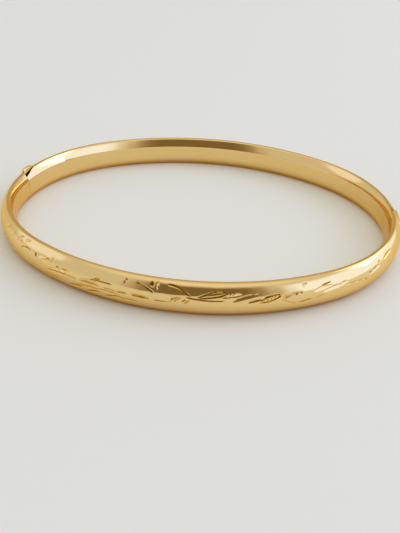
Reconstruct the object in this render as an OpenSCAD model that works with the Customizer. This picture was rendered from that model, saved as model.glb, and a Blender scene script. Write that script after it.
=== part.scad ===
// Hinged oval bangle: two hollow half-round halves, a pinned hinge and a sprung tongue clasp.
// It lies flat, ring axis along Z, with the hinge at +X, the clasp at -X and the front half at -Y.
// Origin: centre of the wrist opening, on the plane that the bangle lies on.

/* [Oval] */
// Inside length, from hinge to clasp
inner_length = 58; // [56:0.5:66]
// Inside width, from front to back
inner_width = 47; // [46:0.5:52]
// Inside radius of the two tight ends
end_radius = 21; // [20:0.5:22]
// How far the two joints lie behind the middle of the ring
joint_shift = 1.8; // [1:0.1:2]

/* [Band section] */
// Width of the band, measured along the arm
band_width = 5; // [4.5:0.1:7]
// Thickness of the band at the crown of its dome
band_thickness = 2.3; // [2.2:0.05:2.3]
// Thickness of the sheet that the shells and linings are made of
sheet = 0.3; // [0.2:0.02:0.34]
// Width of the flat inside face
inner_flat = 2.2; // [2:0.05:2.6]
// Height of the rounded edges above the inside face
edge_height = 0.95; // [0.85:0.05:1.05]
// Radius of the rounded edges
edge_radius = 0.4; // [0.36:0.02:0.5]
// Rim of the shell beside the lining on the inside face
lining_rim = 0.1; // [0.05:0.01:0.15]
// Gap between the two halves at each joint
joint_gap = 0.06; // [0.04:0.01:0.1]

/* [Hinge] */
// Height of the hinge pin above the inside face
pin_height = 1.65; // [1.6:0.05:1.7]
// Outside radius of the hinge knuckles
knuckle_radius = 0.85; // [0.85:0.05:0.9]
// Radius of the hinge pin
pin_radius = 0.35; // [0.3:0.01:0.45]
// Length of the middle knuckle along the pin
middle_knuckle = 1.4; // [1:0.1:1.8]
// Length of the whole hinge barrel along the pin
barrel_length = 4; // [3.6:0.1:4.2]
// How far the hinge barrel stands proud of the dome
barrel_proud = 0.25; // [0.1:0.05:0.3]
// Radial clearance of the pin in the middle knuckle
pin_clearance = 0.03; // [0.02:0.01:0.06]
// Clearance round a knuckle that turns in the other half
knuckle_clearance = 0.06; // [0.04:0.01:0.1]
// Length of the block that closes each half at the hinge
hinge_block = 1.5; // [1.2:0.1:2.5]

/* [Clasp] */
// Width of the folded tongue strip
tongue_width = 2.2; // [2:0.05:2.3]
// Thickness of the folded tongue strip
strip = 0.22; // [0.16:0.01:0.24]
// Reach of the tongue into the back half, up to the middle of its fold
tongue_reach = 2.8; // [2.6:0.1:3.2]
// Clear space between the two leaves at the fold
fold_space = 0.1; // [0.06:0.01:0.12]
// Height of the sill under the mouth that the tongue enters
mouth_sill = 0.16; // [0.1:0.01:0.2]
// Sliding clearance round the tongue
tongue_clearance = 0.06; // [0.04:0.01:0.08]
// Clearance over the lifted end of the spring leaf
leaf_headroom = 0.36; // [0.3:0.01:0.4]
// Gap at the fold that lets the spring leaf turn
fold_gap = 0.06; // [0.05:0.01:0.08]
// Gap between the end of the spring leaf and the catch plate
catch_gap = 0.14; // [0.1:0.01:0.2]
// Thickness of the catch plate
catch_plate_thickness = 0.3; // [0.2:0.05:0.4]
// Length of the block that holds the root of the tongue
clasp_block = 1.2; // [0.8:0.1:2]

/* [Thumb tab] */
// How far the thumb tab stands above the edge of the band
tab_proud = 0.5; // [0.4:0.05:0.8]
// Thickness of the thumb tab
tab_thickness = 0.65; // [0.55:0.05:0.75]
// Length of the thumb tab along the band
tab_length = 2.6; // [2.2:0.1:2.8]
// Radius of the corner of the thumb tab next to the joint
tab_corner = 0.7; // [0.3:0.05:0.8]
// Radius of the top of the thumb tab, which falls away from the joint
tab_fall = 8; // [7:0.5:12]
// Distance from the joint to the thumb tab
tab_start = 0.2; // [0.15:0.05:0.4]
// Length of the lug that joins the thumb tab to the spring leaf
tab_lug = 1.2; // [0.8:0.1:1.6]
// Clearance round the thumb tab in its notch
tab_clearance = 0.07; // [0.05:0.01:0.12]
// Side of the notch that the thumb tab rides in, from the middle of the band
notch_side = 1.25; // [1.2:0.01:1.3]

/* [Hidden] */
$fn = 200;

// Four tangent arcs make the oval: two end arcs on the X axis and two long arcs on the Y axis.
// The long radius is kept to a ten-thousandth of a millimetre, so that arcs which meet share one section.
half_length = inner_length / 2;
half_width = inner_width / 2;
end_centre = half_length - end_radius;
radius_step = 0.0001;
long_radius = radius_step * round(
    (pow(end_centre, 2) + pow(half_width, 2) - pow(end_radius, 2))
        / (2 * (half_width - end_radius)) / radius_step);
end_angle = atan2(long_radius - half_width, end_centre);

// The section is drawn with its height above the inside face along X and the band's width along Y.
// Each rounded edge is a circle that the shoulder line and the dome both touch.
flat_half = inner_flat / 2;
lining_half = flat_half - lining_rim;
edge_side = band_width / 2 - edge_radius;
crown_rise = band_thickness - edge_height;
dome_radius = (pow(crown_rise, 2) + pow(edge_side, 2) - pow(edge_radius, 2))
    / (2 * (crown_rise - edge_radius));
dome_centre = band_thickness - dome_radius;
edge_centre = [edge_height, edge_side];
shoulder_run = norm([edge_height, edge_side - flat_half]);
shoulder_angle = atan2(edge_side - flat_half, edge_height) + asin(edge_radius / shoulder_run);
shoulder_normal = [-sin(shoulder_angle), cos(shoulder_angle)];
dome_normal = (edge_centre - [dome_centre, 0]) / norm(edge_centre - [dome_centre, 0]);
mid_height = band_width / 2;

// Places on an end arc: how far along X from the middle a height above the inside face lies, at a distance back.
function along_x(height, back) = end_centre + sqrt(pow(end_radius + height, 2) - pow(back, 2));

// Hinge pin axis and the lengths along it.
hinge_x = along_x(pin_height, joint_shift);
knuckle_gap = knuckle_clearance;
middle_half = middle_knuckle / 2;
barrel_half = barrel_length / 2;

// The tongue is struck about the hinge pin, so it slides out without binding as the bangle opens.
// Its heights are measured along X from the inside face at the clasp joint.
clasp_x = along_x(0, joint_shift);
clasp_arm = hinge_x + clasp_x;
blade_bottom = sheet + mouth_sill + tongue_clearance;
blade_top = blade_bottom + strip;
fold_inner = fold_space / 2;
fold_outer = fold_inner + strip;
fold_height = blade_top + fold_inner;
fold_arm = clasp_arm + fold_height;
fold_angle = asin(tongue_reach / fold_arm);
leaf_pressed_top = fold_height + fold_outer;
lip_height = leaf_pressed_top + tongue_clearance;

// The spring leaf rests just under the dome and is pressed down until it passes under the lip of the mouth.
// It is straight, so when it is pressed it lies along a chord of the arc that the tongue slides on.
ceiling = dome_centre + sqrt(pow(dome_radius - sheet, 2) - pow(tongue_width / 2, 2));
leaf_start = joint_gap / 2 + catch_plate_thickness + catch_gap;
leaf_length = tongue_reach - leaf_start;
leaf_rest_top = along_x(ceiling - leaf_headroom, joint_shift + leaf_start) - clasp_x;
leaf_lift = asin((leaf_rest_top - leaf_pressed_top) / leaf_length);
leaf_chord = asin(leaf_length / 2 / fold_arm);
leaf_angle = leaf_lift - leaf_chord;

// The thumb tab is measured along the leaf, back from the fold, and stands up past the edge of the band.
// Its outer face is flush with the leaf's. Its notch is measured on the leaf as it lies when it is pressed.
tab_near = tongue_reach - joint_gap / 2 - tab_start;
tab_bottom = notch_side + tab_clearance;
tab_top = band_width / 2 + tab_proud;
tab_lean = fold_outer * sin(leaf_lift);
notch_floor = tab_thickness - fold_outer + tab_clearance;
notch_wall = fold_outer * cos(leaf_lift) + tab_near * sin(leaf_lift) + tab_clearance;
notch_far = tab_length - tab_near + tab_lean + tab_clearance;

// Spare angle at the ends of arcs that are trimmed, and a cut that reaches past the band on every side.
arc_spare = 12;
clear_cut = band_width + band_thickness + tab_proud;

echo(hinge_x = hinge_x, fold_x = hinge_x - fold_arm * cos(fold_angle), press_angle = leaf_lift);

// Outline of the band's section, drawn inside the real outline by inset.
module outline(inset = 0) {
    edge = edge_radius - inset;
    flat_edge = flat_half - inset * (1 - sin(shoulder_angle)) / cos(shoulder_angle);
    shoulder_touch = edge_centre + edge * shoulder_normal;
    dome_touch = edge_centre + edge * dome_normal;
    past_dome = dome_touch + clear_cut * dome_normal;
    upper = [[inset, flat_edge], shoulder_touch, dome_touch, past_dome];
    lower = [for (i = [len(upper) - 1:-1:0]) [upper[i].x, -upper[i].y]];
    intersection() {
        translate([dome_centre, 0]) circle(dome_radius - inset);
        polygon(concat(upper, lower));
    }
    for (side = [-1, 1])
        translate([edge_height, side * edge_side]) circle(edge);
}

module shell_section() {
    difference() {
        outline();
        outline(sheet);
        lining_section();
    }
}

module lining_section() {
    translate([0, -lining_half]) square([sheet, 2 * lining_half]);
}

// Frame at the centre of one end arc of the front half, turned so that the long arc starts on its X axis.
module at_end(end) {
    mirror([end < 0 ? 1 : 0, 0, 0])
        translate([end_centre, 0, mid_height]) rotate(-end_angle) children();
}

// Carries a section round one end arc, to a little way past the joint.
module end_arc(end) {
    at_end(end)
        rotate_extrude(angle = end_angle + arc_spare) translate([end_radius, 0]) children();
}

// Carries a section round the long arc from one end, to a little way past the middle of the front.
module long_arc(end) {
    at_end(end)
        translate([end_radius - long_radius, 0, 0])
            mirror([0, 1, 0])
                rotate_extrude(angle = 90 - end_angle + arc_spare) translate([long_radius, 0]) children();
}

// Everything on one side of the middle of the bangle, towards the hinge or the clasp.
module side_of_middle(end) {
    mirror([end < 0 ? 1 : 0, 0, 0])
        translate([0, -inner_width, -clear_cut])
            cube([inner_length, 2 * inner_width, band_width + 2 * clear_cut]);
}

// Carries a section round one half of the oval, in front of a joint that lies a shift behind the middle.
module half_sweep(shift) {
    difference() {
        for (end = [-1, 1])
            intersection() {
                union() {
                    end_arc(end) children();
                    long_arc(end) children();
                }
                side_of_middle(end);
            }
        behind_joint(shift);
    }
}

// Everything behind a half's side of the joint plane, down to a depth.
module behind_joint(shift, depth = 0) {
    translate([-hinge_x - clear_cut, shift - joint_gap / 2 - depth, -clear_cut])
        cube([2 * (hinge_x + clear_cut), inner_width, band_width + 2 * clear_cut]);
}

// A solid plug that fills the end of a hollow half, to a length from its end face.
module plug(end, shift, length) {
    difference() {
        intersection() {
            end_arc(end) outline(sheet);
            behind_joint(shift, length);
        }
        behind_joint(shift);
    }
}

// The back half is drawn as a front half and turned over, so its joint lies in front of the middle there.
module back() {
    mirror([0, 1, 0]) children();
}

// A round bar on the hinge pin's axis, between two heights from the middle of the band.
module on_pin(radius, low, high) {
    translate([hinge_x, joint_shift, mid_height + low]) cylinder(r = radius, h = high - low);
}

// Groove across the end of a half: snug on its own knuckles and clear of the other half's.
module front_groove() {
    on_pin(knuckle_radius, -clear_cut, clear_cut);
    on_pin(knuckle_radius + knuckle_clearance, -middle_half - knuckle_gap, middle_half + knuckle_gap);
}

module back_groove() {
    on_pin(knuckle_radius, -clear_cut, clear_cut);
    on_pin(knuckle_radius + knuckle_clearance, middle_half, clear_cut);
    on_pin(knuckle_radius + knuckle_clearance, -clear_cut, -middle_half);
}

// The hinge barrel's pieces are filed down to follow the dome, a little proud of it.
module filed(low, high, radius) {
    intersection() {
        on_pin(radius, low, high);
        end_arc(1) outline(-barrel_proud);
    }
}

module end_knuckle(low, high) {
    difference() {
        filed(low, high, knuckle_radius);
        on_pin(pin_radius, -clear_cut, clear_cut);
    }
}

// Frame on the hinge pin, turned so that the fold of the tongue lies on its -X axis.
module about_pin() {
    translate([hinge_x, joint_shift, mid_height]) rotate(-fold_angle) children();
}

// The spring leaf's own frame at rest: the fold at the origin, the free end along -Y.
module on_leaf() {
    about_pin() translate([-fold_arm, 0, 0]) rotate(-leaf_angle) children();
}

// The fixed leaf of the tongue, struck about the hinge pin from its fold to well inside the front half.
module tongue_strip() {
    about_pin()
        rotate(180)
            rotate_extrude(angle = fold_angle + arc_spare)
                translate([clasp_arm + blade_bottom, -tongue_width / 2]) square([strip, tongue_width]);
}

// The half turn at the end of the tongue, where the strip is folded back.
module tongue_fold() {
    about_pin()
        translate([-fold_arm, 0, 0])
            rotate_extrude(angle = 180)
                translate([fold_inner, -tongue_width / 2]) square([strip, tongue_width]);
}

// The mouth that the tongue enters. It runs into the notch on the side where the thumb tab's lug passes.
module mouth_cut() {
    mouth_half = tongue_width / 2 + tongue_clearance;
    translate([-clasp_x - lip_height, joint_shift, mid_height - mouth_half])
        cube([lip_height - blade_bottom + tongue_clearance, leaf_start, mouth_half + tab_bottom]);
}

// The notch in the upper edge of the back half. Its inner side is just clear of the thumb tab when that is pressed,
// and its outer side when it is at rest.
module tab_notch() {
    about_pin()
        translate([-fold_arm, 0, 0])
            rotate(leaf_chord)
                translate([-notch_wall, notch_far - clear_cut, notch_side])
                    cube([notch_wall + notch_floor, clear_cut, clear_cut]);
}

// The thumb tab seen square to the leaf: a round corner next to the joint, and a top that falls away from it.
module tab_side() {
    tall = tab_top - tab_bottom;
    intersection() {
        union() {
            square([tab_length, tall - tab_corner]);
            translate([tab_corner, 0]) square([tab_length - tab_corner, tall]);
            translate([tab_corner, tall - tab_corner]) circle(tab_corner);
        }
        translate([tab_corner, tall - tab_fall]) circle(tab_fall);
    }
}

// The thumb tab seen along the leaf: a flat tab with a full round on top.
module tab_section() {
    round_height = tab_top - tab_bottom - tab_thickness / 2;
    translate([-tab_thickness / 2, 0]) square([tab_thickness, round_height]);
    translate([0, round_height]) circle(tab_thickness / 2);
}

// Front half

module front_shell() {
    color("gold")
        difference() {
            half_sweep(joint_shift) shell_section();
            front_groove();
        }
}

module front_lining() {
    color("goldenrod") half_sweep(joint_shift) lining_section();
}

module front_hinge_block() {
    color("goldenrod")
        difference() {
            plug(1, joint_shift, hinge_block);
            front_groove();
        }
}

module front_clasp_block() {
    color("goldenrod")
        difference() {
            plug(-1, joint_shift, clasp_block);
            tongue_strip();
        }
}

module upper_knuckle() {
    color("gold") end_knuckle(middle_half + knuckle_gap, barrel_half);
}

module lower_knuckle() {
    color("gold") end_knuckle(-barrel_half, -middle_half - knuckle_gap);
}

module hinge_pin() {
    color("darkgoldenrod") filed(-barrel_half, barrel_half, pin_radius);
}

// Clasp tongue on the front half

module tongue_blade() {
    color("khaki") {
        intersection() {
            tongue_strip();
            behind_joint(joint_shift, clasp_block);
        }
        tongue_fold();
    }
}

module spring_leaf() {
    color("khaki")
        on_leaf()
            translate([-fold_outer, -leaf_length, -tongue_width / 2])
                cube([strip, leaf_length - fold_gap, tongue_width]);
}

module thumb_tab() {
    color("gold")
        on_leaf()
            translate([-fold_outer, 0, 0]) {
                translate([tab_thickness / 2, -tab_near, tab_bottom])
                    intersection() {
                        rotate([90, 0, 90])
                            translate([0, 0, -tab_thickness]) linear_extrude(2 * tab_thickness) tab_side();
                        rotate([90, 0, 0])
                            translate([0, 0, -tab_length]) linear_extrude(tab_length) tab_section();
                    }
                translate([0, -leaf_length, tongue_width / 2])
                    cube([strip, tab_lug, tab_bottom - tongue_width / 2 + strip]);
            }
}

// Back half

module back_shell() {
    color("gold")
        difference() {
            back() half_sweep(-joint_shift) shell_section();
            back_groove();
            tab_notch();
        }
}

module back_lining() {
    color("goldenrod") back() half_sweep(-joint_shift) lining_section();
}

module back_hinge_block() {
    color("goldenrod")
        difference() {
            back() plug(1, -joint_shift, hinge_block);
            back_groove();
        }
}

module catch_plate() {
    color("goldenrod")
        difference() {
            back() plug(-1, -joint_shift, catch_plate_thickness);
            mouth_cut();
            tab_notch();
        }
}

module middle_knuckle() {
    color("gold")
        difference() {
            filed(-middle_half, middle_half, knuckle_radius);
            on_pin(pin_radius + pin_clearance, -clear_cut, clear_cut);
        }
}

front_shell();
front_lining();
front_hinge_block();
front_clasp_block();
upper_knuckle();
lower_knuckle();
hinge_pin();
tongue_blade();
spring_leaf();
thumb_tab();
back_shell();
back_lining();
back_hinge_block();
catch_plate();
middle_knuckle();
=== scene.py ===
import math

import bmesh
import bpy
import numpy as np
from mathutils import Matrix, Vector


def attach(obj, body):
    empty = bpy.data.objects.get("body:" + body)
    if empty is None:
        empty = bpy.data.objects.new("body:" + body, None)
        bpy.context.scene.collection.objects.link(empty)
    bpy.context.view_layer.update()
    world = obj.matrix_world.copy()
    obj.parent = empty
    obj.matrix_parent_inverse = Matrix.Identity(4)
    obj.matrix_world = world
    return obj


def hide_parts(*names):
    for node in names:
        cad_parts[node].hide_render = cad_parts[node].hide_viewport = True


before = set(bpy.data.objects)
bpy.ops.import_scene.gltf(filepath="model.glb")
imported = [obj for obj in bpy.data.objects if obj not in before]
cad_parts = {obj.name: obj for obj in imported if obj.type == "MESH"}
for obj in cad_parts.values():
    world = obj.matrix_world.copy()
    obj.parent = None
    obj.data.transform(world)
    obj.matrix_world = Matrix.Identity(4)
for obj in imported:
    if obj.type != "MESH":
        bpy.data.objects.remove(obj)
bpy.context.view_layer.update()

# Front shell: the outer sheet of the front half, drawn over a former into a hollow half round in gold.
# Its long edges are turned in to the flat inside face. Its ends are filed flat for the clasp and grooved
# for the hinge barrel, and the foliage on its dome is cut by hand with a graver.
mm = 0.001
half_length = 29.0 * mm
end_radius = 21.0 * mm
long_radius = 35.05 * mm
end_centre = half_length - end_radius
long_centre = 11.55 * mm
end_turn = math.atan2(long_centre, end_centre)
long_turn = math.pi - 2 * end_turn
joint_shift = 1.8 * mm
half_gap = 0.03 * mm
mid_height = 2.5 * mm
weld = 1e-7

sheet = 0.3 * mm
thickness = 2.3 * mm
flat_half = 1.1 * mm
lining_half = 1.0 * mm
edge_height = 0.95 * mm
edge_side = 2.1 * mm
edge_radius = 0.4 * mm
crown_rise = thickness - edge_height
dome_radius = (crown_rise**2 + edge_side**2 - edge_radius**2) / (2 * (crown_rise - edge_radius))
dome_centre = thickness - dome_radius
dome_slope = math.atan2(edge_side, edge_height - dome_centre)
shoulder_run = math.hypot(edge_height, edge_side - flat_half)
shoulder_slope = math.atan2(edge_side - flat_half, edge_height) + math.asin(edge_radius / shoulder_run)
edge_turn = math.pi / 2 + shoulder_slope - dome_slope
middle_radius = end_radius + thickness / 2
crown_end = end_radius + thickness
crown_long = long_radius + thickness
half_run = crown_long * long_turn / 2 + crown_end * end_turn

pin_height = 1.65 * mm
hinge_x = end_centre + math.sqrt((end_radius + pin_height) ** 2 - joint_shift**2)
knuckle_radius = 0.85 * mm
knuckle_clearance = 0.06 * mm
middle_half = 0.7 * mm
end_fade = 3.0 * mm

front_joint = joint_shift - half_gap


def at_clasp(height, side):
    """A point of the band's section, at the clasp end of the long axis."""
    return Vector((-half_length - height, 0, mid_height + side))


def half_round(bm, inset, edge_steps, dome_steps):
    """Draws shoulder, edge, dome, edge and shoulder of the section as one wire, and gives its two ends."""
    turned = dict(axis=(0, -1, 0), dvec=(0, 0, 0), use_duplicate=False)
    edge = edge_radius - inset
    start = at_clasp(edge_height - edge * math.sin(shoulder_slope),
                     edge_side + edge * math.cos(shoulder_slope))
    first = bm.verts.new(start)
    upper = bmesh.ops.spin(bm, geom=[first], cent=at_clasp(edge_height, edge_side),
                           angle=edge_turn, steps=edge_steps, **turned)
    dome = bmesh.ops.spin(bm, geom=upper["geom_last"], cent=at_clasp(dome_centre, 0),
                          angle=2 * dome_slope, steps=dome_steps, **turned)
    lower = bmesh.ops.spin(bm, geom=dome["geom_last"], cent=at_clasp(edge_height, -edge_side),
                           angle=edge_turn, steps=edge_steps, **turned)
    last = lower["geom_last"][0]
    flat_edge = flat_half - inset * (1 - math.sin(shoulder_slope)) / math.cos(shoulder_slope)
    ends = []
    for end, side in ((first, 1), (last, -1)):
        corner = bm.verts.new(at_clasp(inset, side * flat_edge))
        bm.edges.new((end, corner))
        ends.append(corner)
    return ends


def shell_wire(bm, edge_steps, dome_steps, inner_steps):
    """The closed section of a shell: outer face, inner face and the two lips beside the lining."""
    outer = half_round(bm, 0, edge_steps, dome_steps)
    inner = half_round(bm, sheet, edge_steps=2, dome_steps=inner_steps)
    for out_end, in_end, side in zip(outer, inner, (1, -1)):
        lip = [bm.verts.new(at_clasp(height, side * lining_half)) for height in (0, sheet)]
        for pair in ((out_end, lip[0]), (lip[0], lip[1]), (lip[1], in_end)):
            bm.edges.new(pair)


def spin_lengths(bm, wire, centre, turn, steps, lengths):
    """Spins a wire round the centre: the first length with steps, the other lengths as copies of it."""
    before = set(bm.faces)
    about = dict(cent=centre, axis=(0, 0, 1), dvec=(0, 0, 0))
    bmesh.ops.spin(bm, geom=wire, angle=turn / lengths, steps=steps, use_duplicate=False, **about)
    if lengths > 1:
        faces = [face for face in bm.faces if face not in before]
        edges = {edge for face in faces for edge in face.edges}
        verts = {vert for face in faces for vert in face.verts}
        bmesh.ops.spin(bm, geom=faces + list(edges) + list(verts), angle=turn * (lengths - 1) / lengths,
                       steps=lengths - 1, use_duplicate=True, **about)


def sweep_half(bm, joint_y, end_steps, end_lengths, long_steps, long_lengths):
    """Carries the section from the clasp joint round the end and along the front, and mirrors that."""
    round_end = (-end_centre, 0, 0)
    near = bm.verts[:] + bm.edges[:]
    far = bmesh.ops.duplicate(bm, geom=near)["geom"]
    start = -math.asin(joint_y / middle_radius)
    for wire, turn in ((near, start), (far, end_turn)):
        verts = [item for item in wire if isinstance(item, bmesh.types.BMVert)]
        bmesh.ops.rotate(bm, verts=verts, cent=round_end, matrix=Matrix.Rotation(turn, 3, "Z"))
    spin_lengths(bm, near, round_end, end_turn - start, end_steps, end_lengths)
    spin_lengths(bm, far, (0, long_centre, 0), long_turn / 2, long_steps, long_lengths)
    bmesh.ops.remove_doubles(bm, verts=bm.verts, dist=weld)
    bmesh.ops.mirror(bm, geom=bm.verts[:] + bm.edges[:] + bm.faces[:], axis="X", merge_dist=weld)


def vert_places(bm):
    """All points of bm, one row each."""
    return np.array([vert.co for vert in bm.verts])


def move_verts(bm, co):
    """Puts the points of bm at new places, one row each."""
    for vert, place in zip(bm.verts, co):
        vert.co = place


def shape_ends(bm, joint_y, is_own):
    """Files both ends flat on the joint, and draws the hinge end back along a groove for the knuckles."""
    co = vert_places(bm)
    x, y = np.abs(co[:, 0]) - end_centre, co[:, 1]
    radius, angle = np.hypot(x, y), np.arctan2(y, x)
    own = is_own(np.abs(co[:, 2] - mid_height))
    groove = np.where(own, knuckle_radius, knuckle_radius + knuckle_clearance)
    off_pin = end_centre + np.sqrt(np.maximum(radius**2 - joint_y**2, 0)) - hinge_x
    deep = np.sqrt(np.maximum(groove**2 - off_pin**2, 0))
    end_y = np.where(co[:, 0] > 0, np.minimum(joint_y, joint_y + half_gap - deep), joint_y)
    start = math.asin(joint_y / middle_radius)
    fade = np.clip(1 - (start - angle) * crown_end / end_fade, 0, 1)
    near = (x > 0) & (fade > 0)
    angle = angle + fade * (np.arcsin(np.clip(end_y / radius, -1, 1)) - start)
    co[near, 0] = (np.sign(co[:, 0]) * (end_centre + radius * np.cos(angle)))[near]
    co[near, 1] = (radius * np.sin(angle))[near]
    move_verts(bm, co)


def close_ends(bm):
    """Fills the open rims with end faces."""
    rims = [edge for edge in bm.edges if edge.is_boundary]
    bmesh.ops.holes_fill(bm, edges=rims, sides=0)


def on_band(co):
    """Each point's run along the crown, height over the inside face, side off mid-height, and way out."""
    x, y, z = co.T
    long_angle = np.arctan2(x, long_centre - y)
    is_long = np.abs(long_angle) <= long_turn / 2
    end_x = np.abs(x) - end_centre
    end_angle = np.arctan2(-y, end_x)
    run = np.where(is_long, crown_long * long_angle, np.sign(x) * (half_run - crown_end * end_angle))
    height = np.where(is_long, np.hypot(x, y - long_centre) - long_radius, np.hypot(end_x, y) - end_radius)
    outward = np.where(is_long, np.stack([x, y - long_centre]), np.stack([np.sign(x) * end_x, y])).T
    outward = outward / np.linalg.norm(outward, axis=1)[:, None]
    return run, height, z - mid_height, outward


waver_depth = 0.03 * mm
waver_start = 0.2 * sheet
# Each wave: per mm along the band, per mm across it, where it starts, and its share.
waver_waves = ((0.83, 0.9, 0.0, 1.0), (1.37, -1.3, 1.1, 1.0), (0.47, 2.1, 2.3, 1.0), (2.9, 1.7, 0.6, 0.5))


def hand_waver(bm):
    """Slight unevenness of hand-finished sheet, always inwards, and none at the flat inside face."""
    co = vert_places(bm)
    run, height, side, outward = on_band(co)
    sway = sum(share * np.sin((along * run + across * side) / mm + start)
               for along, across, start, share in waver_waves)
    sway = sway / sum(wave[-1] for wave in waver_waves)
    clear_of_inside = np.clip((height - waver_start) / sheet, 0, 1)
    lift = waver_depth * (sway - 1) / 2 * clear_of_inside
    co[:, :2] += outward * lift[:, None]
    move_verts(bm, co)


def mark_band(bm):
    """Keeps each point's place along, across and above the band, for the polishing lines and tones."""
    run, height, side = on_band(vert_places(bm))[:3]
    layer = bm.verts.layers.float_vector.new("band_place")
    for vert, place in zip(bm.verts, zip(run, side, height)):
        vert[layer] = place


sharp_edge = math.radians(40)


def finish_piece(bm, name, material, body, slot, *nodes):
    """Makes bm a piece with outward faces and soft shading, broken at its real edges."""
    bmesh.ops.recalc_face_normals(bm, faces=bm.faces)
    for face in bm.faces:
        face.smooth = True
    for edge in bm.edges:
        edge.smooth = len(edge.link_faces) == 2 and edge.calc_face_angle() < sharp_edge
    mesh = bpy.data.meshes.new(name)
    bm.to_mesh(mesh)
    bm.free()
    piece = bpy.data.objects.new(name, mesh)
    bpy.context.scene.collection.objects.link(piece)
    mesh.materials.append(material)
    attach(piece, body)
    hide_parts(*nodes)


class Graver:
    """Cuts bright V-shaped strokes into the dome, and paints shade into them.

    Strokes are in mm: along the crown from the middle of the front, and off mid-height.
    """

    path_points = 33
    dome_tolerance = 1e-6
    least_reach = 1e-3
    tone_spread = 1.6

    def __init__(self, bm):
        self.co = vert_places(bm)
        run, height, side, self.outward = on_band(self.co)
        off_dome = np.abs(np.hypot(height - dome_centre, side) - dome_radius)
        self.dome = off_dome < self.dome_tolerance
        self.run, self.side = run / mm, side / mm
        self.rise = (height - dome_centre) / dome_radius
        self.lean = side / dome_radius
        self.depth = np.zeros(len(self.co))
        self.tone = np.zeros(len(self.co))

    def stroke(self, path, half_width, depth, cut_shade, swell=0.45, fullness=1.0, tilt=0.0):
        """One pass along a Bezier path: it swells to half_width and dies out, and tilt widens one wall."""
        points = np.array(path, float)
        order = len(points) - 1
        t = np.linspace(0, 1, self.path_points)[:, None]
        line = sum(math.comb(order, i) * t**i * (1 - t) ** (order - i) * points[i]
                   for i in range(order + 1))
        low, high = line.min(0) - half_width, line.max(0) + half_width
        near = np.flatnonzero(self.dome & (self.run > low[0]) & (self.run < high[0])
                              & (self.side > low[1]) & (self.side < high[1]))
        spot = np.stack([self.run[near], self.side[near]], 1)
        start, step = line[:-1], np.diff(line, axis=0)
        away = spot[:, None] - start[None]
        share = np.clip((away * step).sum(2) / (step**2).sum(1), 0, 1)
        off = away - share[:, :, None] * step
        gap = np.hypot(off[:, :, 0], off[:, :, 1])
        best = gap.argmin(1)
        row = np.arange(len(near))
        along = (best + share[row, best]) / len(step)
        side = np.sign(step[best, 0] * off[row, best, 1] - step[best, 1] * off[row, best, 0])
        reach = np.clip(fullness * np.sin(np.pi * along ** (math.log(0.5) / math.log(swell))), 0, 1)
        width = half_width * np.maximum(reach, self.least_reach)
        across = side * gap[row, best] / width
        wall = np.clip(np.minimum((1 + across) / (1 + tilt), (1 - across) / (1 - tilt)), 0, 1)
        self.depth[near] = np.maximum(self.depth[near], depth * reach * wall)
        # Painted shade in the cut, strongest along its middle where it is widest.
        shaded = cut_shade * np.clip(reach * wall * self.tone_spread, 0, 1)
        self.tone[near] = np.maximum(self.tone[near], shaded)

    def leaf(self, base, tip, bow, half_width, depth, cut_shade, tilt):
        """One broad cut from base to tip, bowed to one side."""
        base, tip = np.array(base, float), np.array(tip, float)
        along = tip - base
        middle = (base + tip) / 2 + 2 * bow * np.array([-along[1], along[0]]) / np.hypot(*along)
        self.stroke([base, middle, tip], half_width, depth, cut_shade, swell=0.42, fullness=1.2, tilt=tilt)

    def line(self, path, half_width=0.11, depth=0.06, cut_shade=0.95):
        """A thin stem, vein or outline."""
        self.stroke(path, half_width, depth, cut_shade, swell=0.5, fullness=2.5)

    def ribbed_leaf(self, base, tip, belly, ribs):
        """A leaf drawn with two outlines and a row of short ribs."""
        base, tip = np.array(base, float), np.array(tip, float)
        size = np.hypot(*(tip - base))
        along = (tip - base) / size
        across = np.array([-along[1], along[0]])
        low_run, high_run = 0.3 * size, 0.75 * size
        low_swell, high_swell = 2 * belly, 1.4 * belly
        for side in (-1, 1):
            low = base + low_run * along + side * low_swell * across
            high = base + high_run * along + side * high_swell * across
            self.line([base, low, high, tip])
        first_rib, last_rib, rib_reach, rib_slant = 0.2, 0.82, 1.05, 0.12
        for k in range(ribs):
            share = first_rib + (last_rib - first_rib) * k / (ribs - 1)
            half = belly * rib_reach * math.sin(math.pi * share**0.85)
            foot = base + share * size * along - half * across
            top = foot + 1.9 * half * across + rib_slant * along
            self.line([foot, top], depth=0.07, cut_shade=0.7)

    def pip(self, spot, radius=0.13, depth=0.07, cut_shade=0.8):
        """A round punched dot."""
        gap = np.hypot(self.run - spot[0], self.side - spot[1])
        flat_floor = 0.15
        hollow = self.dome * np.clip(1 + flat_floor - (gap / radius) ** 2, 0, 1)
        self.depth = np.maximum(self.depth, depth * hollow)
        # Painted shade fills the dot.
        self.tone = np.maximum(self.tone, cut_shade * hollow)

    def finish(self, bm, attribute):
        """Pushes the dome in along its own normal and keeps how much painted shade each place gets."""
        inward = self.depth * mm
        self.co[:, :2] -= self.outward * (inward * self.rise)[:, None]
        self.co[:, 2] -= inward * self.lean
        layer = bm.verts.layers.float.new(attribute)
        for vert, place, tone in zip(bm.verts, self.co, self.tone):
            vert.co = place
            vert[layer] = tone


def mapped(material, start, end):
    """A map range node that turns 0..1 into start..end."""
    node = material.node_tree.nodes.new("ShaderNodeMapRange")
    node.inputs["To Min"].default_value = start
    node.inputs["To Max"].default_value = end
    return node


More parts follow.
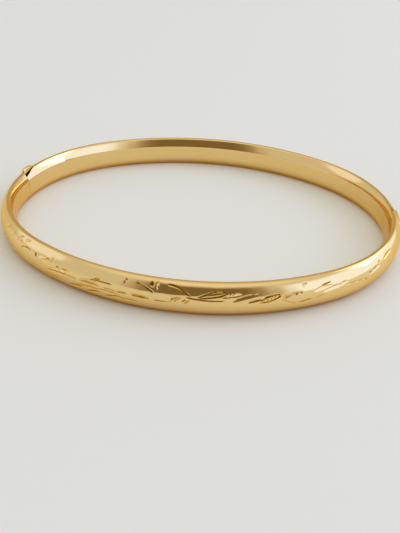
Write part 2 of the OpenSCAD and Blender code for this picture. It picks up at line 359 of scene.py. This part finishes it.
def noise(material, place, scale, turn=(0, 0, 0), detail=2):
    """Noise on a place, with its own scale along each axis in waves per metre."""
    nodes, links = material.node_tree.nodes, material.node_tree.links
    drawn = nodes.new("ShaderNodeMapping")
    drawn.inputs["Rotation"].default_value = turn
    drawn.inputs["Scale"].default_value = scale
    links.new(place, drawn.inputs["Vector"])
    grain = nodes.new("ShaderNodeTexNoise")
    grain.inputs["Scale"].default_value = 1
    grain.inputs["Detail"].default_value = detail
    links.new(drawn.outputs["Vector"], grain.inputs["Vector"])
    return grain.outputs["Fac"]


def mixed(material, share, first, second):
    """Mixes two colours by a share, where each colour is a value or a socket."""
    node = material.node_tree.nodes.new("ShaderNodeMix")
    node.data_type = "RGBA"
    for socket, colour in (("A", first), ("B", second)):
        if isinstance(colour, tuple):
            node.inputs[socket].default_value = (*colour, 1)
        else:
            material.node_tree.links.new(colour, node.inputs[socket])
    material.node_tree.links.new(share, node.inputs["Factor"])
    return node.outputs["Result"]


gold_sheen = (1.0, 0.8, 0.5, 1)
tone_waves = (160, 160, 160)
hair_waves = (700, 26000, 26000)
hair_turn = (0.5, 0.3, 0.85)
hair_share = 0.3
line_strength = 0.3
clean_haze, worn_haze = 0.6, 1.5
clean_line, worn_line = 0.4, 0.9


def gold(name, colour, deep, roughness, lines, line_depth, on_sheet=True):
    """Worked gold: slow changes of tone, polishing or filing lines, and hair scratches that cross them."""
    material = bpy.data.materials.new(name)
    material.use_nodes = True
    nodes, links = material.node_tree.nodes, material.node_tree.links
    shader = nodes["Principled BSDF"]
    shader.inputs["Metallic"].default_value = 1.0
    shader.inputs["Specular Tint"].default_value = gold_sheen
    spot = nodes.new("ShaderNodeTexCoord").outputs["Object"]
    along = spot
    if on_sheet:
        band = nodes.new("ShaderNodeAttribute")
        band.attribute_name = "band_place"
        along = band.outputs["Vector"]

    shown = mixed(material, noise(material, spot, tone_waves, detail=4), colour, deep)
    drawn = noise(material, along, lines)
    hairs = noise(material, spot, hair_waves, hair_turn, detail=1)
    crossed = nodes.new("ShaderNodeMath")
    crossed.operation = "MULTIPLY_ADD"
    crossed.inputs[1].default_value = hair_share
    links.new(hairs, crossed.inputs[0])
    links.new(drawn, crossed.inputs[2])

    haze = mapped(material, roughness * clean_haze, roughness * worn_haze)
    haze.inputs["From Min"].default_value = clean_line
    haze.inputs["From Max"].default_value = worn_line
    links.new(crossed.outputs["Value"], haze.inputs["Value"])
    links.new(haze.outputs["Result"], shader.inputs["Roughness"])
    bump = nodes.new("ShaderNodeBump")
    bump.inputs["Strength"].default_value = line_strength
    bump.inputs["Distance"].default_value = line_depth
    links.new(crossed.outputs["Value"], bump.inputs["Height"])
    links.new(bump.outputs["Normal"], shader.inputs["Normal"])
    links.new(shown, shader.inputs["Base Color"])
    return material


def paint_shade(material, share, tone):
    """Lays painted shade, a darker tone, over a material, by a share of 0 to 1."""
    colour = material.node_tree.nodes["Principled BSDF"].inputs["Base Color"]
    material.node_tree.links.new(mixed(material, share, colour.links[0].from_socket, tone), colour)


def across_band(material, measure, begins, full, most):
    """Goes from 0 to most across the band.

    ABSOLUTE measures the distance off the middle of the band, and MULTIPLY the distance below it.
    """
    nodes, links = material.node_tree.nodes, material.node_tree.links
    band = nodes.new("ShaderNodeAttribute")
    band.attribute_name = "band_place"
    parts = nodes.new("ShaderNodeSeparateXYZ")
    links.new(band.outputs["Vector"], parts.inputs["Vector"])
    off = nodes.new("ShaderNodeMath")
    off.operation = measure
    off.inputs[1].default_value = -1
    links.new(parts.outputs["Y"], off.inputs[0])
    share = mapped(material, 0, most)
    share.interpolation_type = "SMOOTHSTEP"
    share.inputs["From Min"].default_value = begins
    share.inputs["From Max"].default_value = full
    links.new(off.outputs["Value"], share.inputs["Value"])
    return share.outputs["Result"]


front = bmesh.new()
shell_wire(front, edge_steps=4, dome_steps=64, inner_steps=8)
sweep_half(front, front_joint, end_steps=40, end_lengths=5, long_steps=30, long_lengths=10)
shape_ends(front, front_joint, lambda side: side > middle_half + knuckle_clearance)
close_ends(front)
graver = Graver(front)

# The stem is cut first, in thin strokes from leaf to leaf.
for path in (
    [(-14.8, 0.21), (-14.1, 0.16), (-13.1, 0.11)],
    [(-9.3, 0.16), (-8.3, 0.1), (-7.3, -0.01)],
    [(-2.4, -0.14), (-1.0, -0.22), (0.4, -0.05)],
    [(14.2, 0.31), (15.3, -0.11), (16.6, -0.68)],
    [(19.1, -0.21), (19.9, -0.09), (20.7, 0.1)],
    [(23.7, 0.68), (25.7, 0.65), (27.5, 0.46)],
):
    graver.line(path, half_width=0.1, cut_shade=0.5)

# Dark leaves: broad cuts that lean down, with painted shade in them.
for base, tip, bow, half_width in (
    ((-18.9, -0.3), (-13.4, 0.1), 0.2, 0.2),
    ((-13.3, -0.6), (-9.0, -0.4), 0.12, 0.17),
    ((-10.2, -0.35), (-6.4, -0.42), 0.1, 0.15),
    ((-7.1, -1.0), (-3.7, -0.95), 0.12, 0.17),
    ((-16.1, 0.75), (-14.3, 0.8), 0.05, 0.13),
    ((-13.1, 0.11), (-9.3, 0.16), 0.12, 0.23),
    ((-7.3, -0.01), (-5.5, 0.0), 0.07, 0.2),
    ((-5.4, 0.09), (-2.4, -0.14), 0.12, 0.26),
    ((-20.1, -1.5), (-15.4, -1.15), 0.15, 0.22),
    ((-14.9, -1.3), (-11.8, -0.73), 0.12, 0.26),
    ((-11.9, -1.35), (-9.2, -0.75), 0.12, 0.24),
    ((-9.2, -1.3), (-6.2, -0.68), 0.12, 0.24),
    ((0.4, -0.05), (1.6, 0.83), 0.05, 0.13),
    ((1.7, -0.16), (2.7, 0.41), 0.04, 0.13),
    ((16.6, -0.68), (19.1, -0.21), 0.1, 0.2),
    ((27.5, 0.46), (28.2, -0.02), 0.0, 0.14),
    ((32.1, 1.39), (35.6, 1.61), 0.22, 0.2),
):
    graver.leaf(base, tip, bow, half_width, depth=0.12, cut_shade=0.5, tilt=-0.4)

# Bright leaves: broad cuts that lean up to the light, with only a little painted shade in them.
for base, tip, bow, half_width in (
    ((-30.1, 1.47), (-28.4, 1.93), 0.1, 0.26),
    ((-27.8, 1.37), (-26.6, 1.76), 0.08, 0.22),
    ((-26.1, 1.18), (-25.2, 1.83), 0.05, 0.2),
    ((-25.2, 1.12), (-24.4, 1.66), 0.05, 0.2),
    ((-25.6, 1.75), (-24.3, 2.07), 0.05, 0.16),
    ((-24.0, 1.74), (-22.5, 2.11), 0.06, 0.18),
    ((-20.5, 0.89), (-19.1, 1.19), 0.1, 0.27),
    ((-20.0, 0.61), (-18.1, 0.69), 0.08, 0.27),
    ((-18.0, 0.87), (-17.3, 1.71), 0.06, 0.18),
    ((-18.3, 0.1), (-14.6, 0.42), 0.15, 0.14),
    ((-12.9, 0.42), (-9.6, 0.5), 0.12, 0.14),
    ((-9.3, -0.12), (-6.6, -0.2), 0.08, 0.12),
    ((-1.75, 2.2), (-1.9, 1.2), 0.03, 0.13),
    ((-0.1, 0.16), (1.35, 0.8), 0.05, 0.17),
    ((1.35, 0.02), (2.35, 0.52), 0.04, 0.15),
    ((6.6, 0.9), (9.5, 1.33), 0.1, 0.16),
    ((7.7, 0.26), (11.7, 1.24), 0.2, 0.24),
    ((9.7, 0.06), (12.2, 0.56), 0.1, 0.18),
    ((14.2, 0.31), (17.2, 1.02), 0.15, 0.26),
    ((17.1, 1.61), (18.0, 1.83), 0.1, 0.14),
    ((18.8, 0.72), (21.9, 1.05), 0.15, 0.24),
    ((19.9, 0.3), (24.0, 0.8), 0.15, 0.28),
    ((23.0, 0.95), (24.4, 1.0), 0.05, 0.17),
    ((28.3, 0.6), (31.6, 1.05), 0.1, 0.22),
):
    graver.leaf(base, tip, bow, half_width, depth=0.13, cut_shade=0.1, tilt=0.55)

# Outlines, tendrils and short marks.
for path in (
    [(-24.3, 0.85), (-23.8, 1.05)],
    [(-23.8, 1.01), (-22.8, 1.43), (-22.1, 1.03)],
    [(-18.8, 1.23), (-18.2, 1.23)],
    [(-16.9, 0.77), (-16.3, 0.86)],
    [(-11.4, 0.76), (-9.6, 0.95), (-7.7, 0.85)],
    [(-10.6, 1.05), (-9.6, 1.12)],
    [(-4.7, 1.76), (-3.5, 1.6), (-2.6, 1.2), (-2.2, 0.87)],
    [(-0.6, 1.98), (0.6, 2.07), (1.8, 1.54), (2.6, 0.92)],
    [(1.6, 0.86), (3.5, 0.5), (5.3, 0.38), (7.3, 0.5)],
    [(3.2, 0.67), (4.5, 1.3), (5.9, 1.95), (7.3, 1.45)],
    [(3.2, 0.67), (5.0, 0.87), (6.5, 1.05), (7.2, 1.42)],
    [(12.0, 0.8), (12.8, 0.97), (13.5, 0.97)],
    [(16.2, 0.69), (16.6, 0.97)],
    [(16.9, 0.79), (17.2, 1.07)],
    [(20.0, 1.3), (20.8, 1.5), (21.6, 1.53)],
    [(28.5, 1.04), (28.9, 0.96), (29.2, 0.79)],
    [(29.4, 0.92), (29.7, 1.19), (30.2, 1.28)],
    [(30.8, 1.41), (31.0, 1.58), (31.4, 1.67)],
):
    graver.line(path)
graver.line([(-20.9, 0.71), (-21.0, 1.29)], half_width=0.2, depth=0.12, cut_shade=0.9)
graver.line([(-2.6, 1.6), (-2.3, 2.05)], half_width=0.28, depth=0.12)

# Shallow slanting strokes near the clasp.
for path in (
    [(-36.3, -1.92), (-35.1, -1.45)],
    [(-34.5, -1.99), (-29.6, 0.47)],
    [(-32.8, -2.06), (-28.2, 0.3)],
    [(-30.7, -2.14), (-26.5, 0.08)],
):
    graver.line(path, half_width=0.14, depth=0.04, cut_shade=0.25)

# One ribbed leaf and two punched dots.
graver.ribbed_leaf((11.3, 0.12), (14.4, 1.02), belly=0.25, ribs=5)
graver.pip((-6.1, 1.53))
graver.pip((-5.9, 1.85))
graver.finish(front, "cut_shade_tone")
hand_waver(front)
mark_band(front)
polished_gold = gold("polished_gold", (0.97, 0.72, 0.33), (0.93, 0.66, 0.27), roughness=0.085,
                     lines=(120, 7000, 7000), line_depth=2e-6)

# Painted shade: the gold is painted darker along both edges and darker still towards the lower one,
# standing for the shaded table reflected there, and painted darker in the cuts.
edge_shade_tone, low_shade_tone = (0.6, 0.34, 0.07), (0.78, 0.42, 0.03)
cut_shade_tone, deep_cut_shade_tone = (0.74, 0.4, 0.03), (0.14, 0.07, 0.01)
edge_shade = across_band(polished_gold, "ABSOLUTE", 2.3 * mm, 2.5 * mm, most=0.75)
paint_shade(polished_gold, edge_shade, edge_shade_tone)
low_shade = across_band(polished_gold, "MULTIPLY", 1.5 * mm, 2.1 * mm, most=0.8)
paint_shade(polished_gold, low_shade, low_shade_tone)
# Painted shade in the cuts: deep gold, then near black where a cut is painted darkest.
cuts = polished_gold.node_tree.nodes.new("ShaderNodeAttribute")
cuts.attribute_name = "cut_shade_tone"
for begins, full, tone in ((0, 0.5, cut_shade_tone), (0.5, 1, deep_cut_shade_tone)):
    shade_share = mapped(polished_gold, 0, 1)
    shade_share.inputs["From Min"].default_value = begins
    shade_share.inputs["From Max"].default_value = full
    polished_gold.node_tree.links.new(cuts.outputs["Fac"], shade_share.inputs["Value"])
    paint_shade(polished_gold, shade_share.outputs["Result"], tone)
finish_piece(front, "engraved_front_shell", polished_gold, "front_half", "polished_gold", "front_shell")

# Front lining: a flat strip of the same sheet on the inside of the front half.
# It is let in between the turned edges of the shell and soldered there.
lining_gold = gold("lining_gold", (0.94, 0.67, 0.28), (0.89, 0.61, 0.23), roughness=0.13,
                   lines=(90, 5200, 5200), line_depth=2e-6)


def lining(name, body, node, joint_y, flip):
    """A strip along one half, which flip turns over to the back."""
    strip = bmesh.new()
    corners = [strip.verts.new(at_clasp(height, side)) for height, side in
               ((0, -lining_half), (0, lining_half), (sheet, lining_half), (sheet, -lining_half))]
    for i in range(len(corners)):
        strip.edges.new((corners[i], corners[i - 1]))
    sweep_half(strip, joint_y, end_steps=64, end_lengths=1, long_steps=80, long_lengths=1)
    shape_ends(strip, joint_y, lambda side: side > 0)
    close_ends(strip)
    mark_band(strip)
    bmesh.ops.scale(strip, vec=(1, flip, 1), verts=strip.verts)
    finish_piece(strip, name, lining_gold, body, "lining_gold", node)


lining("front_lining_strip", "front_half", "front_lining", front_joint, 1)

# Front blocks: solid gold that closes the hollow ends of the front half and is filed flush with them.
# One is grooved for the hinge barrel, and the other holds the root of the tongue. Both are soldered in.
filed_gold = gold("filed_gold", (0.9, 0.62, 0.25), (0.84, 0.55, 0.2), roughness=0.24,
                  lines=(900, 900, 16000), line_depth=4e-6, on_sheet=False)


def finish_nodes(material, *names):
    """Gives solids that stay as they are their finish."""
    for name in names:
        for material_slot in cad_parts[name].material_slots:
            material_slot.material = material


finish_nodes(filed_gold, "front_hinge_block", "front_clasp_block")

# Upper and lower knuckle: two lengths of gold tube, soldered into the groove at the hinge end of the front.
# Their rims are eased, and they are filed down on the outside until they follow the dome.
barrel_half = 2.0 * mm
barrel_proud = 0.25 * mm
pin_radius = 0.35 * mm
pin_clearance = 0.03 * mm
least_wall = 0.05 * mm
rim_ease = 0.05 * mm
rim_turn = 1.2
eased_edge = dict(offset_type="OFFSET", profile=0.5, affect="EDGES", material=-1)
barrel_gold = gold("barrel_gold", (0.95, 0.68, 0.28), (0.88, 0.6, 0.22), roughness=0.15,
                   lines=(2500, 2500, 14000), line_depth=3e-6, on_sheet=False)


def file_down(bm, bore, sunk=0.0):
    """Files what stands out of the band down to just proud of the dome, but leaves a wall at the bore."""
    co = vert_places(bm)
    in_bore = np.hypot(co[:, 0] - hinge_x, co[:, 1] - joint_shift) < bore + 10 * weld
    x, y = co[:, 0] - end_centre, co[:, 1]
    reach = np.hypot(x, y)
    proud = np.sqrt((dome_radius + barrel_proud) ** 2 - (co[:, 2] - mid_height) ** 2)
    limit = end_radius + dome_centre + proud - sunk - np.where(in_bore, least_wall, 0)
    share = np.minimum(1, limit / reach)
    co[:, 0] = end_centre + x * share
    co[:, 1] = y * share
    move_verts(bm, co)


def knuckle(name, low, high, bore, body, node):
    """A length of tube on the pin, from one height off the middle of the band to another."""
    tube = bmesh.new()
    corners = [tube.verts.new((hinge_x + radius, joint_shift, mid_height + level)) for radius, level in
               ((bore, low), (knuckle_radius, low), (knuckle_radius, high), (bore, high))]
    sides = [tube.edges.new((corners[i - 1], corners[i])) for i in range(len(corners))]
    bore_side, out_side = sides[0], sides[2]
    bmesh.ops.subdivide_edges(tube, edges=[bore_side, out_side], cuts=12)
    bmesh.ops.spin(tube, geom=tube.verts[:] + tube.edges[:], cent=(hinge_x, joint_shift, 0), axis=(0, 0, 1),
                   dvec=(0, 0, 0), angle=2 * math.pi, steps=56, use_merge=True, use_duplicate=False)
    rims = [edge for edge in tube.edges if edge.calc_face_angle(0) > rim_turn]
    bmesh.ops.bevel(tube, geom=rims, offset=rim_ease, segments=2, **eased_edge)
    file_down(tube, bore + rim_ease)
    finish_piece(tube, name, barrel_gold, body, "polished_gold", node)


end_low = middle_half + knuckle_clearance
knuckle("upper_hinge_knuckle", end_low, barrel_half, pin_radius, "front_half", "upper_knuckle")
knuckle("lower_hinge_knuckle", -barrel_half, -end_low, pin_radius, "front_half", "lower_knuckle")

# Hinge pin: gold wire driven through the three knuckles.
# Its ends are burnished over and filed off with the barrel.
pin_ease = 0.1 * mm
pin_gold = gold("pin_gold", (0.88, 0.6, 0.24), (0.8, 0.52, 0.18), roughness=0.2,
                lines=(3000, 3000, 3000), line_depth=3e-6, on_sheet=False)
pin = bmesh.new()
bmesh.ops.create_cone(pin, cap_ends=True, segments=40, radius1=pin_radius, radius2=pin_radius,
                      depth=2 * barrel_half, matrix=Matrix.Translation((hinge_x, joint_shift, mid_height)))
upright = [edge for edge in pin.edges if abs(edge.verts[0].co.z - edge.verts[1].co.z) > barrel_half]
bmesh.ops.subdivide_edges(pin, edges=upright, cuts=40)
pin_rims = [edge for edge in pin.edges if edge.calc_face_angle(0) > rim_turn]
bmesh.ops.bevel(pin, geom=pin_rims, offset=pin_ease, segments=4, **eased_edge)
file_down(pin, bore=0, sunk=least_wall)
finish_piece(pin, "riveted_hinge_pin", pin_gold, "front_half", "pin_gold", "hinge_pin")

# Tongue: a strip of springy gold, folded back on itself. Its fixed leaf is held in the clasp block,
# and slides into the back half along an arc about the hinge pin.
tongue_half = 1.1 * mm
tongue_reach = 2.8 * mm
tongue_root = 1.2 * mm
strip_thickness = 0.22 * mm
strip_ease = 0.03 * mm
fold_inner = 0.05 * mm
fold_outer = fold_inner + strip_thickness
blade_room = 0.22 * mm
blade_bottom = sheet + blade_room
clasp_x = end_centre + math.sqrt(end_radius**2 - joint_shift**2)
fold_arm = hinge_x + clasp_x + blade_bottom + fold_outer
fold_angle = math.asin(tongue_reach / fold_arm)
on_pin = Matrix.Translation((hinge_x, joint_shift, mid_height)) @ Matrix.Rotation(-fold_angle, 4, "Z")
on_fold = on_pin @ Matrix.Translation((-fold_arm, 0, 0))
tongue_gold = gold("tongue_gold", (0.92, 0.66, 0.3), (0.85, 0.58, 0.24), roughness=0.18,
                   lines=(9000, 400, 9000), line_depth=3e-6, on_sheet=False)

blade = bmesh.new()
near, far = fold_arm - fold_outer, fold_arm - fold_inner
eased = [(near + strip_ease, -tongue_half), (far - strip_ease, -tongue_half),
         (far, strip_ease - tongue_half), (far, tongue_half - strip_ease),
         (far - strip_ease, tongue_half), (near + strip_ease, tongue_half),
         (near, tongue_half - strip_ease), (near, strip_ease - tongue_half)]
strip_corners = [blade.verts.new((-arm, 0, side)) for arm, side in eased]
strip_wire = [blade.edges.new((strip_corners[i - 1], strip_corners[i])) for i in range(len(eased))]
bent = dict(axis=(0, 0, 1), dvec=(0, 0, 0), use_duplicate=False)
bmesh.ops.spin(blade, geom=strip_corners + strip_wire, cent=(0, 0, 0),
               angle=fold_angle + math.asin(tongue_root / fold_arm), steps=16, **bent)
bmesh.ops.spin(blade, geom=strip_corners + strip_wire, cent=(-fold_arm, 0, 0),
               angle=math.pi, steps=20, **bent)
close_ends(blade)
blade.transform(on_pin)
finish_piece(blade, "folded_tongue_blade", tongue_gold, "front_half", "tongue_gold", "tongue_blade")

# Spring leaf: the free leaf of the folded tongue, in the same springy strip.
# It turns about the fold, and springs up behind the lip of the catch to hold the bangle shut.
leaf_length = 2.33 * mm
fold_gap = 0.06 * mm
leaf_lift = math.radians(8.019)
leaf_chord = math.asin(leaf_length / 2 / fold_arm)
leaf_turn = Matrix.Rotation(leaf_chord - leaf_lift, 4, "Z")
on_leaf = on_fold @ leaf_turn @ Matrix.Translation((-fold_outer, 0, 0))
leaf = bmesh.new()
bmesh.ops.create_cube(leaf, size=1)
bmesh.ops.scale(leaf, vec=(strip_thickness, leaf_length - fold_gap, 2 * tongue_half), verts=leaf.verts)
bmesh.ops.translate(leaf, vec=(strip_thickness / 2, -(leaf_length + fold_gap) / 2, 0), verts=leaf.verts)
bmesh.ops.bevel(leaf, geom=leaf.edges, offset=strip_ease, segments=2, **eased_edge)
leaf.transform(on_leaf)
finish_piece(leaf, "tongue_spring_leaf", tongue_gold, "clasp_spring", "tongue_gold", "spring_leaf")

# Thumb tab: a small rounded piece of thick sheet, soldered to the spring leaf by a lug at its foot.
# It stands up through the notch in the upper edge of the back half, where a thumb can press it.
tab_thickness = 0.65 * mm
tab_length = 2.6 * mm
tab_corner = 0.7 * mm
tab_fall = 8.0 * mm
tab_near = 2.57 * mm
tab_bottom = 1.32 * mm
tab_top = 3.0 * mm
tab_tall = tab_top - tab_bottom
tab_lug = 1.2 * mm
tab_ease = 0.29 * mm
tab = bmesh.new()
foot = tab.verts.new((0, 0, 0))
rise = tab.verts.new((0, 0, tab_tall - tab_corner))
tab.edges.new((foot, rise))
over = dict(axis=(-1, 0, 0), dvec=(0, 0, 0), use_duplicate=False)
corner = bmesh.ops.spin(tab, geom=[rise], cent=(0, tab_corner, tab_tall - tab_corner), angle=math.pi / 2,
                        steps=10, **over)
top = bmesh.ops.spin(tab, geom=corner["geom_last"], cent=(0, tab_corner, tab_tall - tab_fall),
                     angle=math.asin((tab_length - tab_corner) / tab_fall), steps=10, **over)
heel = tab.verts.new((0, tab_length, 0))
tab.edges.new((top["geom_last"][0], heel))
tab.edges.new((heel, foot))
tab_side = bmesh.ops.contextual_create(tab, geom=tab.edges[:])["faces"]
risen = bmesh.ops.extrude_face_region(tab, geom=tab_side)["geom"]
risen_verts = [item for item in risen if isinstance(item, bmesh.types.BMVert)]
bmesh.ops.translate(tab, vec=(tab_thickness, 0, 0), verts=risen_verts)
tab_rims = [edge for edge in tab.edges if abs(edge.verts[0].co.x - edge.verts[1].co.x) < weld
            and max(vert.co.z for vert in edge.verts) > weld]
bmesh.ops.bevel(tab, geom=tab_rims, offset=tab_ease, segments=6, **eased_edge)
bmesh.ops.translate(tab, vec=(0, -tab_near, tab_bottom), verts=tab.verts)
lug = bmesh.ops.create_cube(tab, size=1)["verts"]
lug_tall = tab_bottom - tongue_half
bmesh.ops.scale(tab, vec=(strip_thickness, tab_lug, lug_tall), verts=lug)
lug_place = (strip_thickness / 2, tab_lug / 2 - leaf_length, tongue_half + lug_tall / 2)
bmesh.ops.translate(tab, vec=lug_place, verts=lug)
tab.transform(on_leaf)
finish_piece(tab, "rounded_thumb_tab", barrel_gold, "clasp_spring", "polished_gold", "thumb_tab")

# Back shell: the plain outer sheet of the back half, made as the front one is.
# A notch is filed in its upper edge at the clasp, slanted so that the thumb tab just clears it,
# both at rest and pressed.
back_joint = -joint_shift - half_gap
tab_clearance = 0.07 * mm
notch_floor = 1.25 * mm
notch_corner = (tab_thickness - fold_outer + tab_clearance,
                tab_length - tab_near + fold_outer * math.sin(leaf_lift) + tab_clearance, notch_floor)
notch_wall = fold_outer * math.cos(leaf_lift) + tab_near * math.sin(leaf_lift) + tab_clearance


def cut_notch(bm):
    """Cuts both skins of the shell at the notch, takes out what lies between, and joins the skins there."""
    clasp_end = -0.9 * half_length
    pressed = on_fold @ Matrix.Rotation(leaf_chord, 4, "Z")
    place = pressed @ Vector(notch_corner)
    inward, along, upward = pressed.to_3x3().transposed()
    width = notch_corner[0] + notch_wall
    for spot, way in ((place, inward), (place, along), (place, upward), (place - width * inward, inward)):
        faces = [face for face in bm.faces if face.calc_center_median().x < clasp_end]
        edges = {edge for face in faces for edge in face.edges}
        verts = {vert for face in faces for vert in face.verts}
        bmesh.ops.bisect_plane(bm, geom=faces + list(edges) + list(verts), plane_co=spot, plane_no=way,
                               dist=weld / 10)
    doomed = []
    for face in bm.faces:
        off = face.calc_center_median() - place
        if -width < off.dot(inward) < 0 and off.dot(along) < 0 and off.dot(upward) > 0:
            doomed.append(face)
    bmesh.ops.delete(bm, geom=doomed, context="FACES")
    rims = [edge for edge in bm.edges if edge.is_boundary and edge.verts[0].co.x < 0
            and max(abs(vert.co.y + back_joint) for vert in edge.verts) > weld]
    bmesh.ops.bridge_loops(bm, edges=rims)


back = bmesh.new()
shell_wire(back, edge_steps=6, dome_steps=30, inner_steps=24)
sweep_half(back, back_joint, end_steps=64, end_lengths=1, long_steps=20, long_lengths=4)
shape_ends(back, back_joint, lambda side: side < middle_half)
hand_waver(back)
mark_band(back)
bmesh.ops.scale(back, vec=(1, -1, 1), verts=back.verts)
cut_notch(back)
close_ends(back)
finish_piece(back, "plain_back_shell", polished_gold, "back_half", "polished_gold", "back_shell")

# Back lining: a flat strip of the same sheet, like the front one.
# It is let in between the turned edges of the back shell and soldered there.
lining("back_lining_strip", "back_half", "back_lining", back_joint, -1)

# Back block and catch plate: solid gold at the hinge end, and at the clasp end a thin wall with the mouth
# that the tongue enters. Both are soldered in and filed flush.
finish_nodes(filed_gold, "back_hinge_block", "catch_plate")

# Middle knuckle: a length of the same gold tube, soldered into the groove at the hinge end of the back.
# It sits between the other two, and turns on the pin with a little play.
knuckle("middle_hinge_knuckle", -middle_half, middle_half, pin_radius + pin_clearance,
        "back_half", "middle_knuckle")

# Table: a plain pale top that runs out of sight.
# It is nearly matt, and takes the soft shadow of the bangle.
table_radius = 4.0
table_colour = (0.9, 0.88, 0.775, 1)
table_roughness = 0.7
table_mesh = bpy.data.meshes.new("table")
table_bm = bmesh.new()
bmesh.ops.create_circle(table_bm, cap_ends=True, segments=96, radius=table_radius)
table_bm.to_mesh(table_mesh)
table_bm.free()
table = bpy.data.objects.new("table", table_mesh)
bpy.context.scene.collection.objects.link(table)
table_top = bpy.data.materials.new("table_top")
table_top.use_nodes = True
table_shader = table_top.node_tree.nodes["Principled BSDF"]
table_shader.inputs["Base Color"].default_value = table_colour
table_shader.inputs["Roughness"].default_value = table_roughness
table_mesh.materials.append(table_top)

# Light: an even pale room, a little brighter overhead, with a broad cool window to the right, a lighter
# wall to the left and a darker, warmer side behind the camera. A lamp at the window gives the shadow.
room_level = 0.64
overhead_level = 0.88
window_level = 1.2
wall_level = 0.95
dark_level = 0.2
backdrop_level = 0.76
plain = (1.0, 1.0, 1.0)
daylight = (0.84, 1.0, 1.65)
wall_tint = (0.95, 1.0, 1.2)
warm_shade = (1.0, 0.75, 0.4)
upwards, downwards = (0, 0, 1), (0, 0, -1)
to_window, to_wall, to_dark = (0.996, 0.087, 0), (-0.92, -0.08, 0.38), (0.09, -1.0, 0)
room = bpy.data.worlds.new("room")
bpy.context.scene.world = room
room.use_nodes = True
room_nodes, room_links = room.node_tree.nodes, room.node_tree.links
background = room_nodes["Background"]
way = room_nodes.new("ShaderNodeTexCoord").outputs["Generated"]
flat_way = room_nodes.new("ShaderNodeVectorMath")
flat_way.operation = "MULTIPLY"
flat_way.inputs[1].default_value = (1, 1, 0)
room_links.new(way, flat_way.inputs[0])
level_way = room_nodes.new("ShaderNodeVectorMath")
level_way.operation = "NORMALIZE"
room_links.new(flat_way.outputs["Vector"], level_way.inputs[0])
compass = level_way.outputs["Vector"]


def towards(direction, begins, full, looking=way):
    """Goes from 0 to 1 as the look turns towards a direction, between two cosines of the angle off it."""
    facing = room_nodes.new("ShaderNodeVectorMath")
    facing.operation = "DOT_PRODUCT"
    facing.inputs[1].default_value = Vector(direction).normalized()
    room_links.new(looking, facing.inputs[0])
    share = room_nodes.new("ShaderNodeMapRange")
    share.interpolation_type = "SMOOTHSTEP"
    share.inputs["From Min"].default_value = begins
    share.inputs["From Max"].default_value = full
    room_links.new(facing.outputs["Value"], share.inputs["Value"])
    return share.outputs["Result"]


def where_both(first, second):
    """The product of two shares."""
    node = room_nodes.new("ShaderNodeMath")
    node.operation = "MULTIPLY"
    room_links.new(first, node.inputs[0])
    room_links.new(second, node.inputs[1])
    return node.outputs["Value"]


def lit_to(level, target, share):
    """Takes the room's light to a target level, by a share of 0 to 1."""
    node = room_nodes.new("ShaderNodeMix")
    node.data_type = "FLOAT"
    node.inputs["B"].default_value = target
    room_links.new(share, node.inputs["Factor"])
    if isinstance(level, float):
        node.inputs["A"].default_value = level
    else:
        room_links.new(level, node.inputs["A"])
    return node.outputs["Result"]


overhead = towards(upwards, 0.62, 0.86)
window_side = where_both(towards(to_window, 0.58, 0.76, compass), towards(downwards, -0.7, -0.52))
left_wall = towards(to_wall, 0.93, 0.975)
dark_side = where_both(towards(to_dark, 0.78, 0.95, compass), towards(downwards, -0.78, -0.62))
backdrop = room_nodes.new("ShaderNodeLightPath").outputs["Is Camera Ray"]
lit_room = room_level
for level, share in ((overhead_level, overhead), (window_level, window_side), (wall_level, left_wall),
                     (dark_level, dark_side), (backdrop_level, backdrop)):
    lit_room = lit_to(lit_room, level, share)
room_links.new(lit_room, background.inputs["Strength"])
tint = plain
for colour, share in ((warm_shade, dark_side), (wall_tint, left_wall), (daylight, window_side),
                      (plain, backdrop)):
    tint = mixed(room, share, tint, colour)
room_links.new(tint, background.inputs["Color"])

window_place = Vector((0.4, 0.16, 0.3))
window_size = 0.3
window_watts = 0.32
window = bpy.data.lights.new("window", "AREA")
window.shape = "RECTANGLE"
window.size = window_size
window.size_y = window_size
window.energy = window_watts
window_lamp = bpy.data.objects.new("window", window)
bpy.context.scene.collection.objects.link(window_lamp)
window_lamp.location = window_place
window_lamp.rotation_euler = window_place.to_track_quat("Z", "Y").to_euler()

# Camera: stands in front of the bangle and looks down at it. Its place was fitted to the edges of the band
# in the photo, which is 400 x 533 pixels.
sensor_width = 36
lens_pixels = 650
image_height = 533
sight_distance = 104.395 * mm
elevation, azimuth, roll = (math.radians(a) for a in (27.28, 7.281, -2.383))
aim_right, aim_down = -0.28, -56.906
ring_centre = Vector((0, 0, mid_height))
back_way = Vector((math.sin(azimuth) * math.cos(elevation), -math.cos(azimuth) * math.cos(elevation),
                   math.sin(elevation)))
right = (-back_way).cross(Vector((0, 0, 1))).normalized()
up = right.cross(-back_way)
upright_view = Matrix((right, up, -back_way))
tilt = Vector((0, 0, 1)).rotation_difference(Vector((aim_right, -aim_down, lens_pixels))).to_matrix()
seen = tilt @ Matrix.Rotation(roll, 3, "Z") @ upright_view
turned = Matrix((seen[0], seen[1], -seen[2])).transposed()
camera_data = bpy.data.cameras.new("camera")
camera_data.sensor_width = sensor_width
camera_data.lens = sensor_width * lens_pixels / image_height
camera_data.clip_start = 0.005
camera_data.clip_end = 20
camera = bpy.data.objects.new("camera", camera_data)
bpy.context.scene.collection.objects.link(camera)
camera.matrix_world = Matrix.Translation(ring_centre + back_way * sight_distance) @ turned.to_4x4()
bpy.context.scene.camera = camera
bpy.context.scene.view_settings.view_transform = "Standard"
